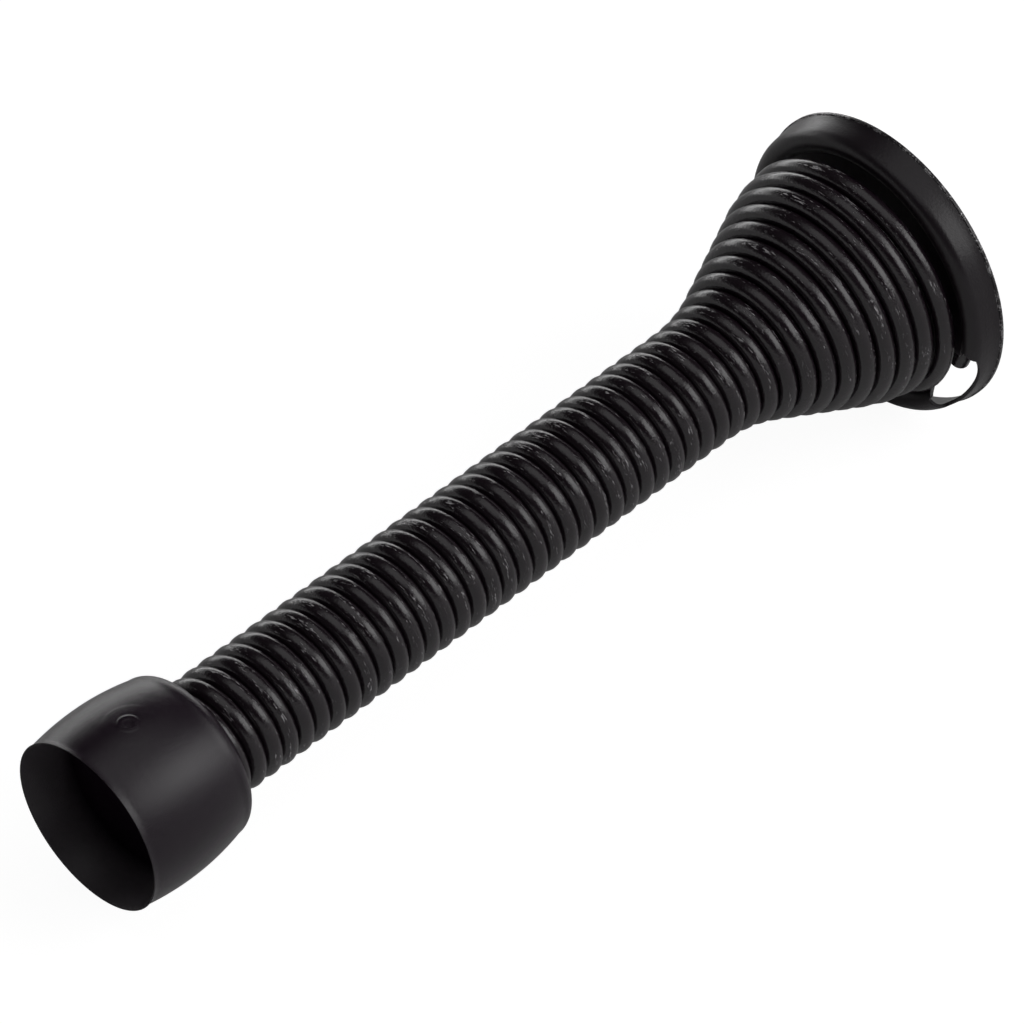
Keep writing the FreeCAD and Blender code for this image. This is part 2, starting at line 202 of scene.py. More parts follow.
class Tree:
    """Short calls that add nodes to one node tree."""

    def __init__(self, tree: bpy.types.NodeTree) -> None:
        """Hold the tree that nodes go into.

        Args:
            tree: Tree of a material, a group or a modifier.
        """
        self.tree = tree

    def add(self, kind: str, inputs: dict[str, object] | None = None, **settings: object) -> bpy.types.Node:
        """Add one node.

        Args:
            kind: Type name of the node.
            inputs: Values or sockets for inputs, by name.
            settings: Properties of the node itself.

        Returns:
            The new node.
        """
        node = self.tree.nodes.new(kind)
        for name, value in settings.items():
            setattr(node, name, value)
        for name, value in (inputs or {}).items():
            feed(self.tree, node.inputs[name], value)
        return node

    def field(self, node: bpy.types.Node, output: str | int = 0) -> Field:
        """One output of a node as a field."""
        return Field(self.tree, node.outputs[output])

    def place(self) -> Field:
        """Object coordinates of a surface."""
        return self.field(self.add("ShaderNodeTexCoord"), "Object")

    def attribute(self, mark: Mark, output: str) -> Field:
        """One attribute of a surface."""
        return self.field(self.add("ShaderNodeAttribute", attribute_name=mark.value), output)

    def vector(self, x: object, y: object, z: object) -> Field:
        """Join three values into a vector."""
        return self.field(self.add("ShaderNodeCombineXYZ", {"X": x, "Y": y, "Z": z}))

    def vector_maths(self, operation: str, output: str, *values: object) -> Field:
        """Put vectors through one Vector Math node.

        Args:
            operation: Operation of the node.
            output: Vector or Value, whichever the operation gives.
            values: Vectors that go in.

        Returns:
            The result as a field.
        """
        node = self.add("ShaderNodeVectorMath", operation=operation)
        for socket, value in zip(node.inputs, values):
            feed(self.tree, socket, value)
        return self.field(node, output)

    def noise(self, vector: Field, scale: object, detail: float, roughness: float) -> Field:
        """Noise from 0 to 1.

        Args:
            vector: Place on the surface.
            scale: Size of the pattern, in repeats per unit.
            detail: Number of finer layers.
            roughness: Weight of the finer layers.

        Returns:
            The noise as a field.
        """
        inputs = {"Vector": vector, "Scale": scale, "Detail": detail, "Roughness": roughness}
        return self.field(self.add("ShaderNodeTexNoise", inputs), 0)

    def blend(self, kind: MixKind, share: Field, first: object, second: object) -> bpy.types.NodeSocket:
        """Mix two colours or two vectors by a share.

        Args:
            kind: What is mixed.
            share: 0 gives the first and 1 the second.
            first: First colour or vector.
            second: Second colour or vector.

        Returns:
            Output socket with the mixture.
        """
        data_type, first_input, second_input, output = kind.value
        node = self.add("ShaderNodeMix", {"Factor": share}, data_type=data_type)
        feed(self.tree, node.inputs[first_input], first)
        feed(self.tree, node.inputs[second_input], second)
        return node.outputs[output]


def group_tree(
    name: str, inputs: dict[str, tuple[str, object]], outputs: dict[str, str]
) -> bpy.types.NodeTree:
    """Make a shader node group with named sockets.

    Args:
        name: Name of the group.
        inputs: Socket type and default value of each input.
        outputs: Socket type of each output.

    Returns:
        The new group.
    """
    tree = bpy.data.node_groups.new(name, "ShaderNodeTree")
    for label, (kind, value) in inputs.items():
        socket = tree.interface.new_socket(label, in_out="INPUT", socket_type=kind)
        if value is not None:
            socket.default_value = value
    for label, kind in outputs.items():
        tree.interface.new_socket(label, in_out="OUTPUT", socket_type=kind)
    return tree


class SharedEffects:
    """Node groups that more than one finish uses, each built once."""

    FINE_SHARE = 0.4
    FLECK_SHARE = 0.6

    def __init__(self) -> None:
        """Build every group."""
        self.grain = self.build_grain()
        self.rub = self.build_rub()

    def build_grain(self) -> bpy.types.NodeTree:
        """Fine grain of a coated or moulded surface.

        Returns:
            Group with a height and a tone that vary over the surface.
        """
        tree = group_tree(
            "FineGrain",
            {
                "Vector": ("NodeSocketVector", None),
                "Grains Per Metre": ("NodeSocketFloat", 4000.0),
                "Clouds Per Metre": ("NodeSocketFloat", 300.0),
            },
            {"Height": "NodeSocketFloat", "Tone": "NodeSocketFloat"},
        )
        sheet = Tree(tree)
        given = sheet.add("NodeGroupInput")
        place = sheet.field(given, "Vector")
        fine = sheet.noise(place, given.outputs["Grains Per Metre"], detail=3.0, roughness=0.6)
        cloud = sheet.noise(place, given.outputs["Clouds Per Metre"], detail=4.0, roughness=0.55)
        tone = fine * self.FINE_SHARE + cloud * (1 - self.FINE_SHARE)
        sheet.add("NodeGroupOutput", {"Height": fine, "Tone": tone})
        return tree

    def build_rub(self) -> bpy.types.NodeTree:
        """Flecks where a coating is rubbed through.

        Returns:
            Group with a mask of the bare flecks.
        """
        tree = group_tree(
            "RubbedFlecks",
            {
                "Vector": ("NodeSocketVector", None),
                "Exposure": ("NodeSocketFloat", 0.0),
                "Flecks Per Unit": ("NodeSocketFloat", 1.0),
                "Patches Per Unit": ("NodeSocketFloat", 0.2),
                "Threshold": ("NodeSocketFloat", 0.62),
                "Softness": ("NodeSocketFloat", 0.10),
            },
            {"Mask": "NodeSocketFloat"},
        )
        sheet = Tree(tree)
        given = sheet.add("NodeGroupInput")
        place = sheet.field(given, "Vector")
        flecks = sheet.noise(place, given.outputs["Flecks Per Unit"], detail=4.0, roughness=0.65)
        patches = sheet.noise(place, given.outputs["Patches Per Unit"], detail=2.0, roughness=0.5)
        level = flecks * self.FLECK_SHARE + patches * (1 - self.FLECK_SHARE)
        threshold = sheet.field(given, "Threshold")
        bare = level.ramp(threshold, threshold + sheet.field(given, "Softness"))
        sheet.add("NodeGroupOutput", {"Mask": bare * sheet.field(given, "Exposure")})
        return tree


@dataclass(frozen=True)
class Finish:
    """Values that every finish of the stop has, and the steps that use them."""

    name: str
    body: Colour
    roughness: float
    specular: float
    shade: float
    tone_range: float
    grains_per_metre: float
    clouds_per_metre: float
    grain_depth: float
    bump_strength: float

    def start(self) -> tuple[bpy.types.Material, Tree, bpy.types.Node]:
        """Make an empty material with one shader.

        Returns:
            The material, its tree and its Principled shader.
        """
        material = bpy.data.materials.new(self.name)
        material.use_nodes = True
        material.node_tree.nodes.clear()
        sheet = Tree(material.node_tree)
        shader = sheet.add("ShaderNodeBsdfPrincipled", {"Specular IOR Level": self.specular})
        sheet.add("ShaderNodeOutputMaterial", {"Surface": shader.outputs["BSDF"]})
        return material, sheet, shader

    def grain(self, sheet: Tree, effects: SharedEffects, place: Field) -> tuple[Field, Field]:
        """Place the fine grain.

        Args:
            sheet: Tree of the material.
            effects: Shared node groups.
            place: Object coordinates.

        Returns:
            Height and tone of the grain.
        """
        inputs = {
            "Vector": place,
            "Grains Per Metre": self.grains_per_metre,
            "Clouds Per Metre": self.clouds_per_metre,
        }
        node = sheet.add("ShaderNodeGroup", inputs, node_tree=effects.grain)
        return sheet.field(node, "Height"), sheet.field(node, "Tone")

    def coat(self, sheet: Tree, tone: Field) -> bpy.types.NodeSocket:
        """Colour of the body, darker where the tone is low."""
        dark = tuple(self.shade * value for value in self.body)
        return sheet.blend(MixKind.COLOUR, tone, opaque(dark), opaque(self.body))

    def toned_roughness(self, tone: Field) -> Field:
        """Roughness that varies with the tone about its middle value."""
        return tone * self.tone_range + (self.roughness - self.tone_range / 2)

    def emboss(self, sheet: Tree, shader: bpy.types.Node, height: Field) -> None:
        """Raise the surface by the grain and the marks on it.

        Args:
            sheet: Tree of the material.
            shader: Its Principled shader.
            height: Height in grain depths.
        """
        inputs = {"Height": height, "Distance": self.grain_depth, "Strength": self.bump_strength}
        bump = sheet.add("ShaderNodeBump", inputs)
        feed(sheet.tree, shader.inputs["Normal"], bump.outputs["Normal"])


@dataclass(frozen=True)
class RubbedCoat(Finish):
    """Black coating on steel that is rubbed through to the metal in flecks."""

    bare: Colour
    bare_roughness: float
    bare_metallic: float
    flecks_per_unit: float
    patches_per_unit: float
    threshold: float
    softness: float

    def flecks(self, sheet: Tree, effects: SharedEffects, place: Field, exposure: Field) -> Field:
        """Place the flecks.

        Args:
            sheet: Tree of the material.
            effects: Shared node groups.
            place: Place on the surface.
            exposure: How far each place is open to rubbing.

        Returns:
            Mask of the bare metal.
        """
        inputs = {
            "Vector": place,
            "Exposure": exposure,
            "Flecks Per Unit": self.flecks_per_unit,
            "Patches Per Unit": self.patches_per_unit,
            "Threshold": self.threshold,
            "Softness": self.softness,
        }
        return sheet.field(sheet.add("ShaderNodeGroup", inputs, node_tree=effects.rub), "Mask")

    def cover(
        self, sheet: Tree, shader: bpy.types.Node, tone: Field, roughness: Field, mask: Field
    ) -> None:
        """Give the shader the coating, and bare metal in the flecks.

        Args:
            sheet: Tree of the material.
            shader: Its Principled shader.
            tone: Tone of the coating.
            roughness: Roughness of the coating.
            mask: Mask of the bare metal.
        """
        colour = sheet.blend(MixKind.COLOUR, mask, self.coat(sheet, tone), opaque(self.bare))
        feed(sheet.tree, shader.inputs["Base Color"], colour)
        feed(sheet.tree, shader.inputs["Metallic"], mask * self.bare_metallic)
        change = mask * (self.bare_roughness - self.roughness)
        feed(sheet.tree, shader.inputs["Roughness"], roughness + change)


@dataclass(frozen=True)
class CoatedWire(RubbedCoat):
    """Semi-gloss black coating on spring wire, rubbed through along the crests of the turns."""

    name: str = "CoatedWire"
    body: Colour = (0.014, 0.007, 0.012)
    roughness: float = 0.14
    specular: float = 0.7
    shade: float = 0.6
    tone_range: float = 0.16
    grains_per_metre: float = 5200.0
    clouds_per_metre: float = 420.0
    grain_depth: float = 0.05 * MM
    bump_strength: float = 0.5
    bare: Colour = (0.60, 0.58, 0.60)
    bare_roughness: float = 0.33
    bare_metallic: float = 0.65
    flecks_per_unit: float = 1.0
    patches_per_unit: float = 0.22
    threshold: float = 0.57
    softness: float = 0.10
    fleck_stretch: Place = (1700.0, 8200.0, 1.0)
    fleck_height: float = 1.5
    rubbed_crest: Point = (0.50, 0.95)
    dulled_crest: Point = (0.3, 0.9)
    crest_roughness: float = 0.06

    def material(self, effects: SharedEffects) -> bpy.types.Material:
        """Build the coated wire's material.

        Args:
            effects: Shared node groups.

        Returns:
            The material.
        """
        material, sheet, shader = self.start()
        height, tone = self.grain(sheet, effects, sheet.place())
        crest = sheet.attribute(Mark.CREST, "Fac")
        on_wire = sheet.attribute(Mark.WIRE, "Vector")
        stretched = sheet.vector_maths("MULTIPLY", "Vector", on_wire, self.fleck_stretch)
        mask = self.flecks(sheet, effects, stretched, crest.ramp(*self.rubbed_crest))
        roughness = self.toned_roughness(tone) + crest.ramp(*self.dulled_crest) * self.crest_roughness
        self.cover(sheet, shader, tone, roughness, mask)
        self.emboss(sheet, shader, height + mask * self.fleck_height)
        return material


@dataclass(frozen=True)
class CoatedSheet(RubbedCoat):
    """Satin black coating on stamped sheet steel, worn along its rim."""

    name: str = "CoatedSheet"
    body: Colour = (0.012, 0.0065, 0.011)
    roughness: float = 0.34
    specular: float = 0.5
    shade: float = 0.6
    tone_range: float = 0.18
    grains_per_metre: float = 4600.0
    clouds_per_metre: float = 260.0
    grain_depth: float = 0.03 * MM
    bump_strength: float = 0.6
    bare: Colour = (0.40, 0.39, 0.40)
    bare_roughness: float = 0.38
    bare_metallic: float = 0.85
    flecks_per_unit: float = 6200.0
    patches_per_unit: float = 900.0
    threshold: float = 0.50
    softness: float = 0.10
    rim_radius: float = 12.85 * MM
    rim_land: float = 0.25 * MM
    land_fade: float = 1.4
    worn_rim: Point = (0.985, 0.992)

    def material(self, effects: SharedEffects) -> bpy.types.Material:
        """Build the coated sheet's material.

        Args:
            effects: Shared node groups.

        Returns:
            The material.
        """
        material, sheet, shader = self.start()
        solid = sheet.place()
        parts = sheet.add("ShaderNodeSeparateXYZ", {"Vector": solid})
        across, along, up = (sheet.field(parts, name) for name in ("X", "Y", "Z"))
        reach = (across.squared() + up.squared()).node("SQRT")
        on_rim = reach.ramp(*(self.rim_radius * share for share in self.worn_rim))
        off_land = (-along).ramp(self.rim_land, self.rim_land * self.land_fade)

        height, tone = self.grain(sheet, effects, solid)
        mask = self.flecks(sheet, effects, solid, on_rim * off_land.rest())
        self.cover(sheet, shader, tone, self.toned_roughness(tone), mask)
        self.emboss(sheet, shader, height)
        return material


@dataclass(frozen=True)
class MouldedRubber(Finish):
    """Matte black rubber with the fine grain of its mould and one round gate mark."""

    name: str = "MouldedRubber"
    body: Colour = (0.014, 0.0055, 0.014)
    roughness: float = 0.21
    specular: float = 0.5
    shade: float = 0.7
    tone_range: float = 0.14
    grains_per_metre: float = 9500.0
    clouds_per_metre: float = 330.0
    grain_depth: float = 0.05 * MM
    bump_strength: float = 0.6
    gate: Vector = field(default_factory=Vector)
    gate_radius: float = 0.75 * MM
    gate_rim_share: float = 0.3
    gate_rim_height: float = 1.3
    gate_rim_polish: float = 0.05
    halo_radius: float = 1.9 * MM
    halo_height: float = 0.4
    hollow_roughness: float = 0.5
    hollow_dulling: float = 0.85
    # Paler colour painted on the mouth's taper: a painted reflection of the light that its funnel catches
    mouth: Colour = (0.060, 0.052, 0.060)

    def material(self, effects: SharedEffects) -> bpy.types.Material:
        """Build the rubber's material.

        Args:
            effects: Shared node groups.

        Returns:
            The material.
        """
        material, sheet, shader = self.start()
        solid = sheet.place()
        height, tone = self.grain(sheet, effects, solid)
        hollow = sheet.attribute(Mark.HOLLOW, "Fac")

        distance = sheet.vector_maths("DISTANCE", "Value", solid, self.gate)
        rim = self.gate_radius * self.gate_rim_share
        inner = distance.ramp(self.gate_radius - 2 * rim, self.gate_radius - rim)
        outer = distance.ramp(self.gate_radius, self.gate_radius + rim)
        ring = inner - outer
        halo = distance.ramp(self.halo_radius, self.halo_radius + rim).rest()

        # Painted light: the mouth is painted paler half way from the outside to the hollow, where this product
        # reaches 1, standing in for the light that its funnel catches.
        painted_mouth_light = hollow * hollow.rest() * 4.0
        colour = sheet.blend(MixKind.COLOUR, painted_mouth_light, self.coat(sheet, tone), opaque(self.mouth))
        polish = self.toned_roughness(tone) - ring * self.gate_rim_polish
        shine = (hollow * self.hollow_dulling).rest() * self.specular
        feed(sheet.tree, shader.inputs["Base Color"], colour)
        feed(sheet.tree, shader.inputs["Roughness"], polish + hollow * self.hollow_roughness)
        feed(sheet.tree, shader.inputs["Specular IOR Level"], shine)
        self.emboss(sheet, shader, height + ring * self.gate_rim_height + halo * self.halo_height)
        return material


@dataclass(frozen=True)
class Lean:
    """How the spring and its tip lean on the flange.

    A piece is drawn with its axis along +Z and the wall at z = 0. It leans about a point on that axis, and is
    then laid along -Y.
    """

    angle: float = math.radians(2.4)
    bearing: float = math.radians(-77.4)
    pivot: float = 24.0 * MM

    @property
    def hinge(self) -> Vector:
        """Axis that the piece leans about, in the drawing."""
        return Vector((-math.sin(self.bearing), math.cos(self.bearing), 0.0))

    def matrix(self) -> Matrix:
        """Transform from the drawing to the part's frame.

        Returns:
            The lean followed by the turn that lays the axis along -Y.
        """
        pivot = Matrix.Translation((0.0, 0.0, self.pivot))
        lean = pivot @ Matrix.Rotation(self.angle, 4, self.hinge) @ pivot.inverted()
        return Matrix.Rotation(math.pi / 2, 4, "X") @ lean


def link_piece(
    name: str, mesh: bpy.types.Mesh, node: Node, material: bpy.types.Material
) -> bpy.types.Object:
    """Put a finished mesh into the scene in place of its solid.

    Args:
        name: Name of the piece.
        mesh: Mesh in the part's frame.
        node: Solid that the piece stands for.
        material: Finish of the piece.

    Returns:
        The piece.
    """
    mesh.materials.clear()
    mesh.materials.append(material)
    piece = bpy.data.objects.new(name, mesh)
    bpy.context.scene.collection.objects.link(piece)
    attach(piece, BODY)
    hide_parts(node.solid)
    node.slot
    return piece


class WireTree(Tree):
    """Geometry node tree that winds one wire from its named sizes."""

    def __init__(self, sizes: dict[str, float | int], hinge: Vector) -> None:
        """Make the tree with one input for each size.

        Args:
            sizes: Values of the inputs, by name.
            hinge: Axis that the coil leans about.
        """
        tree = bpy.data.node_groups.new("CoilSpring", "GeometryNodeTree")
        tree.interface.new_socket("Geometry", in_out="INPUT", socket_type="NodeSocketGeometry")
        for name, value in sizes.items():
            kind = "NodeSocketInt" if isinstance(value, int) else "NodeSocketFloat"
            tree.interface.new_socket(name, in_out="INPUT", socket_type=kind).default_value = value
        tree.interface.new_socket("Geometry", in_out="OUTPUT", socket_type="NodeSocketGeometry")
        super().__init__(tree)
        self.given = self.add("NodeGroupInput")
        self.hinge = hinge

    def size(self, name: str) -> Field:
        """One input of the tree."""
        return self.field(self.given, name)

    def leaned(self, vector: Field, pivot: object) -> Field:
        """Turn a vector about the lean's hinge.

        Args:
            vector: Vector of the drawing.
            pivot: Point that stays in place.

        Returns:
            The vector after the lean.
        """
        inputs = {"Vector": vector, "Center": pivot, "Axis": self.hinge, "Angle": self.size("Lean Angle")}
        return self.field(self.add("ShaderNodeVectorRotate", inputs))

    def to_wall(self, vector: object) -> Field:
        """Lay a vector of the drawing along the wall's axes."""
        parts = self.add("ShaderNodeSeparateXYZ", {"Vector": vector})
        return self.vector(parts.outputs["X"], -self.field(parts, "Z"), parts.outputs["Y"])

    def keep(
        self, geometry: bpy.types.NodeSocket, mark: Mark, value: Field, kind: str
    ) -> bpy.types.NodeSocket:
        """Store one value on the points of a geometry.

        Args:
            geometry: Socket with the geometry.
            mark: Attribute that takes the value.
            value: Value of each point.
            kind: Data type of the attribute.

        Returns:
            Socket with the marked geometry.
        """
        inputs = {"Geometry": geometry, "Name": mark.value}
        node = self.add("GeometryNodeStoreNamedAttribute", inputs, data_type=kind)
        feed(self.tree, node.inputs["Value"], value)
        return node.outputs["Geometry"]

    def kept(self, mark: Mark, kind: str) -> Field:
        """Read one stored value."""
        node = self.add("GeometryNodeInputNamedAttribute", {"Name": mark.value}, data_type=kind)
        return self.field(node)

    def opening(self, turns: Field) -> tuple[Field, Field]:
        """How the flare opens: slowly at first, then evenly, then slowly again.

        Args:
            turns: Station of a point.

        Returns:
            Radius of the wire's centre, and the growth of that radius in one turn.
        """
        size = self.size
        start, end = size("Flare Start"), size("Flare End")
        place = (turns.at_least(0.0) / size("Flare Turns")).rest().at_least(0.0)
        slowing = end.rest()
        early = place.at_most(start).squared() / (start * 2.0)
        middle = (place.at_most(slowing) - start).at_least(0.0)
        past = (place - slowing).at_least(0.0)
        late = past - past.squared() / (end * 2.0)
        whole = ((start + end) * 0.5).rest()
        spread = size("Foot Radius") - size("Shaft Radius")
        radius = size("Shaft Radius") + spread * (early + middle + late) / whole
        slope = (place / start).at_most(1.0).at_most(place.rest() / end)
        return radius, spread * slope / whole / size("Flare Turns")

    def climb(self, turns: Field, growth: Field) -> Field:
        """Height above the foot: neighbouring turns touch, so a turn that opens rises less.

        Args:
            turns: Station of a point.
            growth: Growth of the coil's radius in one turn.

        Returns:
            Height of the wire's centre above the start of the dive, and below it in the tail.
        """
        pitch = self.size("Pitch")
        rise = (pitch.squared() - growth.squared()).node("SQRT") / self.size("Points Per Turn")
        above = turns.node("GREATER_THAN", 0.0)
        total = self.add("GeometryNodeAccumulateField", {"Value": rise * above}, data_type="FLOAT")
        return self.size("Foot Level") + self.field(total, "Leading") + turns.at_most(0.0) * pitch

    def wound(self) -> bpy.types.NodeSocket:
        """Lay points along the wire's centre.

        Returns:
            Points in the part's frame, each marked with its way out of the coil.
        """
        size = self.size
        # A point's station is the number of turns above the start of the dive, below zero in the tail.
        count = (size("Turns") + size("Tail Turns")) * size("Points Per Turn") + 1.0
        line = self.add("GeometryNodeMeshLine", {"Count": count, "Offset": ORIGIN})
        index = self.field(self.add("GeometryNodeInputIndex"))
        turns = index / size("Points Per Turn") - size("Tail Turns")
        bearing = turns * FULL_TURN + size("Dive Bearing")
        across, up = bearing.node("COSINE"), bearing.node("SINE")

        # The coil leans on the flange, and its last turn is loose.
        closed = (turns.at_least(0.0) / size("Foot Turns")).at_most(1.0)
        radius, growth = self.opening(turns)
        radius = radius + size("Foot Spread") * closed.rest().squared()
        height = self.climb(turns, growth) + closed * size("Foot Gap")
        upright = self.vector(radius * across, radius * up, height)
        coil = self.leaned(upright, self.vector(0.0, 0.0, size("Lean Pivot")))

        # The tail lies flat behind the front face, and the dive leads into it.
        share = (-turns / size("Tail Turns")).at_least(0.0)
        closing = (size("Tail Radius") - size("Dive Radius")) * share.squared()
        flat_radius = size("Dive Radius") + closing
        tail = self.vector(flat_radius * across, flat_radius * up, size("Tail Height"))
        sinking = (-turns).ramp(0.0, size("Dive Turns"))
        centre = self.to_wall(self.blend(MixKind.VECTOR, sinking, coil, tail))

        placed = self.add("GeometryNodeSetPosition", {"Geometry": line.outputs["Mesh"], "Position": centre})
        outward = self.to_wall(self.leaned(self.vector(across, up, 0.0), ORIGIN))
        return self.keep(placed.outputs["Geometry"], Mark.OUTWARD, outward, "FLOAT_VECTOR")

    def swept(self, points: bpy.types.NodeSocket) -> bpy.types.NodeSocket:
        """Sweep the wire's round section along its centre.

        Args:
            points: Socket with the points of the centre.

        Returns:
            Socket with the wire's mesh.
        """
        path = self.add("GeometryNodeMeshToCurve", {"Mesh": points})
        length = self.field(self.add("GeometryNodeSplineParameter"), "Length")
        curve = self.keep(path.outputs["Curve"], Mark.LENGTH, length, "FLOAT")
        section = self.add(
            "GeometryNodeCurvePrimitiveCircle",
            {"Radius": self.size("Wire Radius"), "Resolution": self.size("Section Points")},
        )
        wire = self.add(
            "GeometryNodeCurveToMesh",
            {"Curve": curve, "Profile Curve": section.outputs["Curve"], "Fill Caps": True},
        )
        return wire.outputs["Mesh"]

    def marked(self, wire: bpy.types.NodeSocket) -> bpy.types.NodeSocket:
        """Mark places for the finish: along and around the wire, and how far a point faces out of the coil.

        Args:
            wire: Socket with the wire's mesh.

        Returns:
            Socket with the marked mesh.
        """
        normal = self.field(self.add("GeometryNodeInputNormal"))
        axis = self.to_wall(self.leaned(self.vector(0.0, 0.0, 1.0), ORIGIN))
        outward = self.kept(Mark.OUTWARD, "FLOAT_VECTOR")
        facing = self.vector_maths("DOT_PRODUCT", "Value", normal, outward)
        leading = self.vector_maths("DOT_PRODUCT", "Value", normal, axis)
        around = leading.node("ARCTAN2", facing) * self.size("Wire Radius")
        place = self.vector(self.kept(Mark.LENGTH, "FLOAT"), around, 0.0)
        placed = self.keep(wire, Mark.WIRE, place, "FLOAT_VECTOR")
        return self.keep(placed, Mark.CREST, facing, "FLOAT")

    def finish(self, wire: bpy.types.NodeSocket, sharp_angle: float, material: bpy.types.Material) -> None:
        """Smooth the wire up to its cut ends, and end the tree with its material.

        Args:
            wire: Socket with the marked mesh.
            sharp_angle: Angle from which an edge stays sharp.
            material: Finish of the wire.
        """
        angle = self.field(self.add("GeometryNodeInputMeshEdgeAngle"))
        smooth = self.add(
            "GeometryNodeSetShadeSmooth",
            {"Geometry": wire, "Shade Smooth": angle.node("LESS_THAN", sharp_angle)},
            domain="EDGE",
        )
        real = self.add("GeometryNodeRealizeInstances", {"Geometry": smooth.outputs["Geometry"]})
        inputs = {"Geometry": real.outputs["Geometry"], "Material": material}
        dressed = self.add("GeometryNodeSetMaterial", inputs)
        self.add("NodeGroupOutput", {"Geometry": dressed.outputs["Geometry"]})


@dataclass
class CoilSpring:
    """One wire, close wound into a straight shaft and a flare, with its last turn behind the flange."""

    lean: Lean
    finish: CoatedWire
    wire_diameter: float = 1.6 * MM
    coil_gap: float = 0.04 * MM
    shaft_diameter: float = 10.0 * MM
    shaft_length: float = 56.45 * MM
    foot_diameter: float = 21.0 * MM
    foot_gap: float = 0.36 * MM
    foot_spread: float = 0.7 * MM
    foot_turns: float = 0.42
    flare_turns: float = 11.4
    flare_start: float = 0.30
    flare_end: float = 0.25
    foot_height: float = 3.05 * MM
    dive_bearing: float = math.radians(-40.5)
    dive_angle: float = math.radians(55.0)
    tail_angle: float = math.radians(288.0)
    tail_radius: float = 10.1 * MM
    tail_height: float = 1.05 * MM
    points_per_turn: int = 60
    section_points: int = 20
    sharp_angle: float = math.radians(50.0)

    @property
    def pitch(self) -> float:
        """Distance between the centres of neighbouring turns."""
        return self.wire_diameter + self.coil_gap

    @property
    def foot_radius(self) -> float:
        """Radius of the wire's centre in the turn at the flange."""
        return (self.foot_diameter - self.wire_diameter) / 2

    @property
    def dive_reach(self) -> float:
        """Radius of the wire's centre where it starts to dive, about the axis of the coil."""
        return self.foot_radius + self.foot_spread

    @property
    def foot_level(self) -> float:
        """Height of the start of the dive, before the lean.

        Returns:
            Height in the drawing that the lean brings to the foot's height.
        """
        slant = self.dive_reach * math.cos(self.dive_bearing - self.lean.bearing)
        rise = self.foot_height - self.lean.pivot + slant * math.sin(self.lean.angle)
        return self.lean.pivot + rise / math.cos(self.lean.angle)

    @property
    def dive_radius(self) -> float:
        """Distance of the start of the dive from the flange's axis, after the lean.

        Returns:
            Distance in the wall's plane.
        """
        across = self.dive_reach * math.cos(self.dive_bearing)
        up = self.dive_reach * math.sin(self.dive_bearing)
        placed = self.lean.matrix() @ Vector((across, up, self.foot_level))
        return math.hypot(placed.x, placed.z)

    def inputs(self) -> dict[str, float | int]:
        """Sizes that the tree winds the wire from.

        Returns:
            Values of the tree's inputs, by name.
        """
        return {
            "Turns": self.shaft_length / self.pitch + self.flare_turns,
            "Tail Turns": (self.dive_angle + self.tail_angle) / FULL_TURN,
            "Points Per Turn": self.points_per_turn,
            "Pitch": self.pitch,
            "Shaft Radius": (self.shaft_diameter - self.wire_diameter) / 2,
            "Foot Radius": self.foot_radius,
            "Foot Level": self.foot_level,
            "Foot Gap": self.foot_gap,
            "Foot Spread": self.foot_spread,
            "Foot Turns": self.foot_turns,
            "Flare Turns": self.flare_turns,
            "Flare Start": self.flare_start,
            "Flare End": self.flare_end,
            "Dive Bearing": self.dive_bearing,
            "Dive Turns": self.dive_angle / FULL_TURN,
            "Dive Radius": self.dive_radius,
            "Tail Radius": self.tail_radius,
            "Tail Height": self.tail_height,
            "Lean Angle": self.lean.angle,
            "Lean Pivot": self.lean.pivot,
            "Wire Radius": self.pitch / 2,
            "Section Points": self.section_points,
        }

    def build(self, effects: SharedEffects) -> bpy.types.Object:
        """Wind the wire and dress it.

        Args:
            effects: Shared node groups.

        Returns:
            The spring.
        """
        material = self.finish.material(effects)
        sheet = WireTree(self.inputs(), self.lean.hinge)
        sheet.finish(sheet.marked(sheet.swept(sheet.wound())), self.sharp_angle, material)

        maker = bpy.data.objects.new("coil_maker", bpy.data.meshes.new("coil_maker"))
        bpy.context.scene.collection.objects.link(maker)
        modifier = maker.modifiers.new("CoilSpring", "NODES")
        modifier.node_group = sheet.tree
        items = sheet.tree.interface.items_tree
        sockets = {item.name: item.identifier for item in items if item.in_out == "INPUT"}
        for name, value in self.inputs().items():
            modifier[sockets[name]] = value
        depsgraph = bpy.context.evaluated_depsgraph_get()
        mesh = bpy.data.meshes.new_from_object(maker.evaluated_get(depsgraph), depsgraph=depsgraph)
        mesh.name = "coil_spring"
        maker.modifiers.remove(modifier)
        bpy.data.objects.remove(maker)
        return link_piece("coil_spring", mesh, Node.SPRING, material)


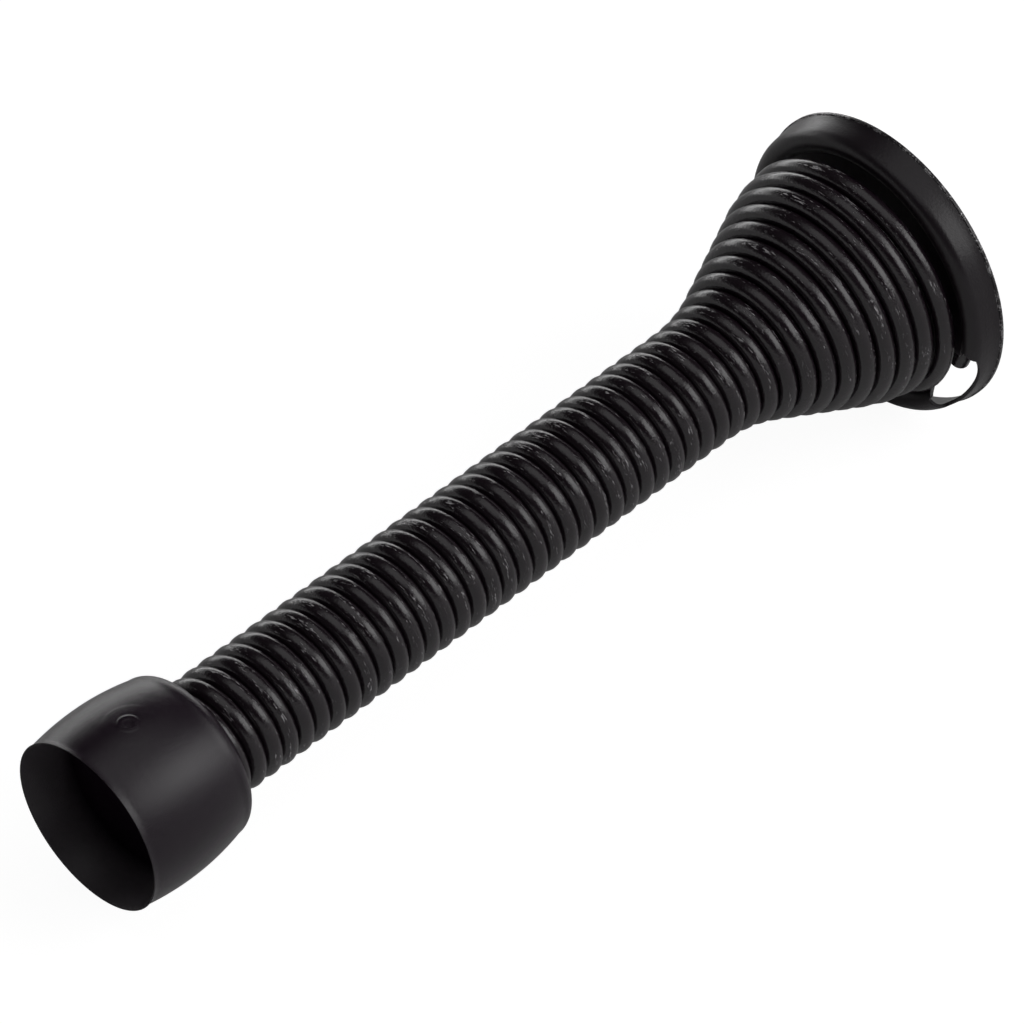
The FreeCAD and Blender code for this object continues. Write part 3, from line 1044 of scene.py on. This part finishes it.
@dataclass
class WallFlange:
    """Stamped sheet flange, with the sharp edges of its solid rounded."""

    finish: CoatedSheet
    edge_round: float = 0.06 * MM
    edge_segments: int = 2
    edge_profile: float = 0.5
    sharp_angle: float = math.radians(40.0)
    merge_distance: float = 0.002 * MM

    def rounded(self, bm: bmesh.types.BMesh) -> None:
        """Round the sharp edges of the solid.

        Args:
            bm: Merged copy of the solid's mesh.
        """
        folds = (edge for edge in bm.edges if edge.is_manifold)
        sharp = [edge for edge in folds if edge.calc_face_angle(0.0) > self.sharp_angle]
        bmesh.ops.bevel(
            bm,
            geom=sharp,
            offset=self.edge_round,
            offset_type="OFFSET",
            segments=self.edge_segments,
            profile=self.edge_profile,
            affect="EDGES",
            clamp_overlap=True,
        )

    def build(self, effects: SharedEffects) -> bpy.types.Object:
        """Finish the flange and dress it.

        Args:
            effects: Shared node groups.

        Returns:
            The flange.
        """
        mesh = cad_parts[Node.FLANGE.solid].data.copy()
        mesh.name = "wall_flange"
        bm = bmesh.new()
        bm.from_mesh(mesh)
        bmesh.ops.remove_doubles(bm, verts=bm.verts, dist=self.merge_distance)
        self.rounded(bm)
        bm.to_mesh(mesh)
        bm.free()
        mesh.shade_smooth()
        mesh.set_sharp_from_angle(angle=self.sharp_angle)
        return link_piece("wall_flange", mesh, Node.FLANGE, self.finish.material(effects))


def arc_points(start: Point, end: Point, radius: float, side: int, steps: int) -> list[Point]:
    """Points of the short arc between two points of a half section, without its start.

    Args:
        start: Radius and place along the axis where the arc starts.
        end: Where it ends.
        radius: Radius of the arc.
        side: 1 to bulge to the left of the way along, -1 to the right.
        steps: Number of points.

    Returns:
        The points, the last of them the end.
    """
    chord = Vector((end[0] - start[0], end[1] - start[1]))
    middle = Vector((start[0] + end[0], start[1] + end[1])) / 2
    across = Vector((-chord.y, chord.x)).normalized() * side
    centre = middle - across * math.sqrt(max(radius**2 - (chord.length / 2) ** 2, 0.0))
    first = Vector(start) - centre
    whole = first.angle_signed(Vector(end) - centre)
    points = []
    for step in range(1, steps + 1):
        turned = Matrix.Rotation(-whole * step / steps, 2) @ first
        points.append((centre.x + turned.x, centre.y + turned.y))
    return points


def chord_radius(run: float, rise: float) -> float:
    """Radius of an arc that starts along the axis and rises over a run."""
    return (run**2 + rise**2) / (2 * rise)


def ring_of_points(
    bm: bmesh.types.BMesh, radius: float, level: float, count: int
) -> list[bmesh.types.BMVert]:
    """Add points around the Z axis.

    Args:
        bm: Mesh that takes the points.
        radius: Distance from the axis.
        level: Height of the ring.
        count: Number of points.

    Returns:
        The points, in order.
    """
    turns = [FULL_TURN * step / count for step in range(count)]
    return [bm.verts.new((radius * math.cos(turn), radius * math.sin(turn), level)) for turn in turns]


@dataclass
class BumperTip:
    """Moulded rubber tip: a barrel with a soft lip around a hollow front, on a socket for the spring."""

    lean: Lean
    finish: MouldedRubber
    length: float = 11.0 * MM
    socket_radius: float = 5.03 * MM
    socket_depth: float = 4.6 * MM
    rear_radius: float = 7.05 * MM
    rear_round: float = 1.4 * MM
    barrel_radius: float = 7.65 * MM
    barrel_depth: float = 4.5 * MM
    waist_radius: float = 7.33 * MM
    waist_depth: float = 0.45 * MM
    waist_share: float = 0.94
    lip_radius: float = 7.37 * MM
    lip_edge: float = 0.12 * MM
    mouth_depth: float = 2.0 * MM
    mouth_taper: float = 0.95 * MM
    # The mouth's share of the hollow also sets how much painted light its taper gets
    mouth_share: float = 0.35
    cup_depth: float = 5.4 * MM
    cup_floor_radius: float = 5.08 * MM
    cup_round: float = 1.2 * MM
    gate_depth: float = 4.8 * MM
    segments: int = 192
    arc_steps: int = 14
    sharp_angle: float = math.radians(35.0)
    tolerance: float = 0.001

    @property
    def mouth_radius(self) -> float:
        """Radius of the mouth at the lip."""
        return self.lip_radius - self.lip_edge

    @property
    def throat_radius(self) -> float:
        """Radius at the inner end of the mouth's taper."""
        return self.mouth_radius - self.mouth_taper

    def outline(self) -> list[Point]:
        """Half section from the floor of the socket round the outside to the middle of the hollow.

        Returns:
            Radius and place along the axis of each point.
        """
        end = self.length
        steps = self.arc_steps
        rear = (self.rear_radius, self.rear_round)
        barrel = (self.barrel_radius, end - self.barrel_depth)
        waist = (self.waist_radius, end - self.waist_depth)
        run, fall = waist[1] - barrel[1], barrel[0] - waist[0]
        between = (barrel[0] - fall * self.waist_share, barrel[1] + run * self.waist_share)
        swell = chord_radius(barrel[1] - rear[1], barrel[0] - rear[0])
        drop = chord_radius(run, fall)
        flare = chord_radius(self.waist_depth, self.lip_radius - self.waist_radius)
        lip = (self.lip_radius, end - self.lip_edge / 2)
        mouth = (self.mouth_radius, end - self.lip_edge / 2)
        throat = (self.throat_radius, end - self.mouth_depth)
        floor = end - self.cup_depth
        wall_foot = (self.cup_floor_radius + self.cup_round, floor + self.cup_round)

        points = [(0.0, self.socket_depth), (self.socket_radius, self.socket_depth)]
        points += [(self.socket_radius, 0.0), (self.rear_radius - self.rear_round, 0.0)]
        points += arc_points(points[-1], rear, self.rear_round, -1, steps)
        points += arc_points(rear, barrel, swell, -1, steps)
        points += arc_points(barrel, between, drop * self.waist_share, -1, steps)
        points += arc_points(between, waist, drop * (1 - self.waist_share), 1, steps)
        points += arc_points(waist, lip, flare, 1, steps)
        points += arc_points(lip, mouth, self.lip_edge / 2, 1, steps // 2)
        points += [throat, wall_foot]
        points += arc_points(wall_foot, (self.cup_floor_radius, floor), self.cup_round, 1, steps)
        points += [(0.0, floor)]
        return points

    def hollow_share(self, radius: float, along: float) -> float:
        """How far a point of the outline lies in the hollow.

        Args:
            radius: Distance of the point from the axis.
            along: Its place along the axis.

        Returns:
            1 in the hollow, a share in its mouth and 0 elsewhere.
        """
        more, less = 1 + self.tolerance, 1 - self.tolerance
        if radius < more * self.mouth_radius and self.length - along < more * self.mouth_depth:
            return self.mouth_share
        return 1.0 if radius < less * self.throat_radius and along > self.socket_depth else 0.0

    def turned(self) -> bpy.types.Mesh:
        """Turn the half section about the axis.

        Returns:
            The tip's mesh in its drawing.
        """
        bm = bmesh.new()
        hollow = bm.verts.layers.float.new(Mark.HOLLOW.value)
        rings = []
        for radius, along in self.outline():
            ring = ring_of_points(bm, radius, along, self.segments if radius > 0.0 else 1)
            for point in ring:
                point[hollow] = self.hollow_share(radius, along)
            rings.append(ring)
        for before, after in zip(rings, rings[1:]):
            for step in range(self.segments):
                following = (step + 1) % self.segments
                if len(before) == 1:
                    bm.faces.new((before[0], after[following], after[step]))
                elif len(after) == 1:
                    bm.faces.new((before[step], before[following], after[0]))
                else:
                    bm.faces.new((before[step], before[following], after[following], after[step]))
        bmesh.ops.recalc_face_normals(bm, faces=bm.faces)
        mesh = bpy.data.meshes.new("rubber_tip")
        bm.to_mesh(mesh)
        bm.free()
        mesh.shade_smooth()
        mesh.set_sharp_from_angle(angle=self.sharp_angle)
        return mesh

    def build(self, effects: SharedEffects) -> bpy.types.Object:
        """Mould the tip and dress it.

        Args:
            effects: Shared node groups.

        Returns:
            The tip.
        """
        to_frame = self.lean.matrix()
        to_drawing = to_frame.inverted()
        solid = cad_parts[Node.TIP.solid].data
        socket_mouth = min((to_drawing @ vertex.co).z for vertex in solid.vertices)
        placed = to_frame @ Matrix.Translation((0.0, 0.0, socket_mouth))
        mesh = self.turned()
        mesh.transform(placed)
        gate = Vector((0.0, self.barrel_radius, self.length - self.gate_depth))
        finish = replace(self.finish, gate=placed @ gate)
        return link_piece("rubber_tip", mesh, Node.TIP, finish.material(effects))


@dataclass(frozen=True)
class SoftBox:
    """One soft lamp that faces the stop.

    Its size is given across the stop's axis and along it, and its radiance is the brightness of its face.
    """

    name: str
    toward: Place
    distance: float
    size: tuple[float, float]
    radiance: float

    def hang(self, aim: Vector) -> None:
        """Hang the lamp.

        Args:
            aim: Point that the lamp faces.
        """
        data = bpy.data.lights.new(self.name, "AREA")
        data.shape = "RECTANGLE"
        data.size, data.size_y = self.size
        data.energy = self.radiance * math.pi * self.size[0] * self.size[1]
        lamp = bpy.data.objects.new(self.name, data)
        bpy.context.scene.collection.objects.link(lamp)
        direction = Vector(self.toward).normalized()
        lamp.location = aim + direction * self.distance
        across = Vector((0.0, 1.0, 0.0)).cross(direction).normalized()
        axes = Matrix((across, direction.cross(across), direction)).transposed()
        lamp.rotation_mode = "QUATERNION"
        lamp.rotation_quaternion = axes.to_quaternion()


@dataclass
class Studio:
    """Pale floor, soft lamps and the camera."""

    floor_level: float = -12.9 * MM
    floor_profile: tuple[Point, ...] = (
        (0.5, 0.0), (1.0, 0.0), (1.3, 0.02), (1.5, 0.08), (1.6, 0.2), (1.63, 0.5),
    )
    floor_segments: int = 96
    floor_colour: Colour = (0.88, 0.88, 0.88)
    floor_glow: float = 1.26
    glow_share: float = 0.75
    mirrored_share: float = 0.35
    mirrored_reach: Point = (0.3, 0.9)
    lamps: tuple[SoftBox, ...] = (
        SoftBox("key_box", (0.64, 0.50, 0.585), 0.85, (0.50, 0.85), 2.1),
        SoftBox("top_panel", (0.025, 0.05, 1.0), 1.1, (1.05, 1.4), 0.55),
        SoftBox("floor_strip", (-0.86, 0.5, 0.03), 0.3, (0.04, 0.5), 4.0),
    )
    lamp_aim: Place = (0.0, -0.04, 0.0)
    surroundings: Colour = (0.03, 0.03, 0.03)
    camera_place: Place = (0.3732, -0.4011, 0.5060)
    camera_azimuth: float = math.radians(46.0)
    camera_elevation: float = math.radians(44.3)
    camera_clip: Point = (0.01, 20.0)
    lens_mm: float = 334.0
    sensor_mm: float = 36.0

    def floor(self) -> bpy.types.Object:
        """Make the pale floor, which curls up far behind the stop.

        Returns:
            The floor.
        """
        bm = bmesh.new()
        count = self.floor_segments
        rings = [
            ring_of_points(bm, reach, self.floor_level + rise, count) for reach, rise in self.floor_profile
        ]
        bm.faces.new(rings[0])
        for inner, outer in zip(rings, rings[1:]):
            for step in range(count):
                after = (step + 1) % count
                bm.faces.new((inner[step], outer[step], outer[after], inner[after]))
        mesh = bpy.data.meshes.new("pale_floor")
        bm.to_mesh(mesh)
        bm.free()
        mesh.shade_smooth()
        mesh.materials.append(self.floor_material())
        floor = bpy.data.objects.new("pale_floor", mesh)
        bpy.context.scene.collection.objects.link(floor)
        return floor

    def floor_material(self) -> bpy.types.Material:
        """White floor that keeps a share of the stop's shadow.

        Returns:
            A material that glows to the camera, and in mirrored rays only far from the stop.
        """
        material = bpy.data.materials.new("PaleFloor")
        material.use_nodes = True
        material.node_tree.nodes.clear()
        sheet = Tree(material.node_tree)
        matte = sheet.add("ShaderNodeBsdfDiffuse", {"Color": opaque(self.floor_colour)})
        white = sheet.add(
            "ShaderNodeEmission", {"Color": opaque((1.0, 1.0, 1.0)), "Strength": self.floor_glow}
        )
        path = sheet.add("ShaderNodeLightPath")
        far = sheet.vector_maths("LENGTH", "Value", sheet.place()).ramp(*self.mirrored_reach)
        mirrored = sheet.field(path, "Is Glossy Ray").at_least(sheet.field(path, "Is Transmission Ray"))
        seen = sheet.field(path, "Is Camera Ray").at_least(mirrored * far * self.mirrored_share)
        mixed = sheet.add("ShaderNodeMixShader")
        shares = (seen * self.glow_share, matte.outputs[0], white.outputs[0])
        for socket, value in zip(mixed.inputs, shares):
            feed(sheet.tree, socket, value)
        sheet.add("ShaderNodeOutputMaterial", {"Surface": mixed.outputs[0]})
        return material

    def lights(self) -> None:
        """Hang the lamps and set the dim surroundings."""
        for lamp in self.lamps:
            lamp.hang(Vector(self.lamp_aim))
        world = bpy.data.worlds.new("studio")
        world.use_nodes = True
        background = world.node_tree.nodes["Background"]
        background.inputs["Color"].default_value = opaque(self.surroundings)
        bpy.context.scene.world = world

    def camera(self) -> None:
        """Place the camera at the photograph's angle."""
        level = math.cos(self.camera_elevation)
        across = math.sin(self.camera_azimuth) * level
        along = -math.cos(self.camera_azimuth) * level
        back = Vector((across, along, math.sin(self.camera_elevation)))
        data = bpy.data.cameras.new("camera")
        data.lens = self.lens_mm
        data.sensor_width = self.sensor_mm
        data.clip_start, data.clip_end = self.camera_clip
        camera = bpy.data.objects.new("camera", data)
        bpy.context.scene.collection.objects.link(camera)
        camera.location = self.camera_place
        camera.rotation_mode = "QUATERNION"
        camera.rotation_quaternion = (-back).to_track_quat("-Z", "Y")
        bpy.context.scene.camera = camera

    def build(self) -> bpy.types.Object:
        """Set up the floor, the lamps and the camera.

        Returns:
            The floor.
        """
        floor = self.floor()
        self.lights()
        self.camera()
        bpy.context.scene.view_settings.view_transform = "Standard"
        return floor


def main() -> None:
    """Build every piece and the studio, and report each of them."""
    logging.basicConfig(level=logging.INFO, format="%(name)s: %(message)s")
    effects = SharedEffects()
    lean = Lean()
    pieces = [
        WallFlange(CoatedSheet()).build(effects),
        CoilSpring(lean, CoatedWire()).build(effects),
        BumperTip(lean, MouldedRubber()).build(effects),
        Studio().build(),
    ]
    for piece in pieces:
        LOG.info("%s: %d faces", piece.name, len(piece.data.polygons))


if __name__ == "__main__":
    main()
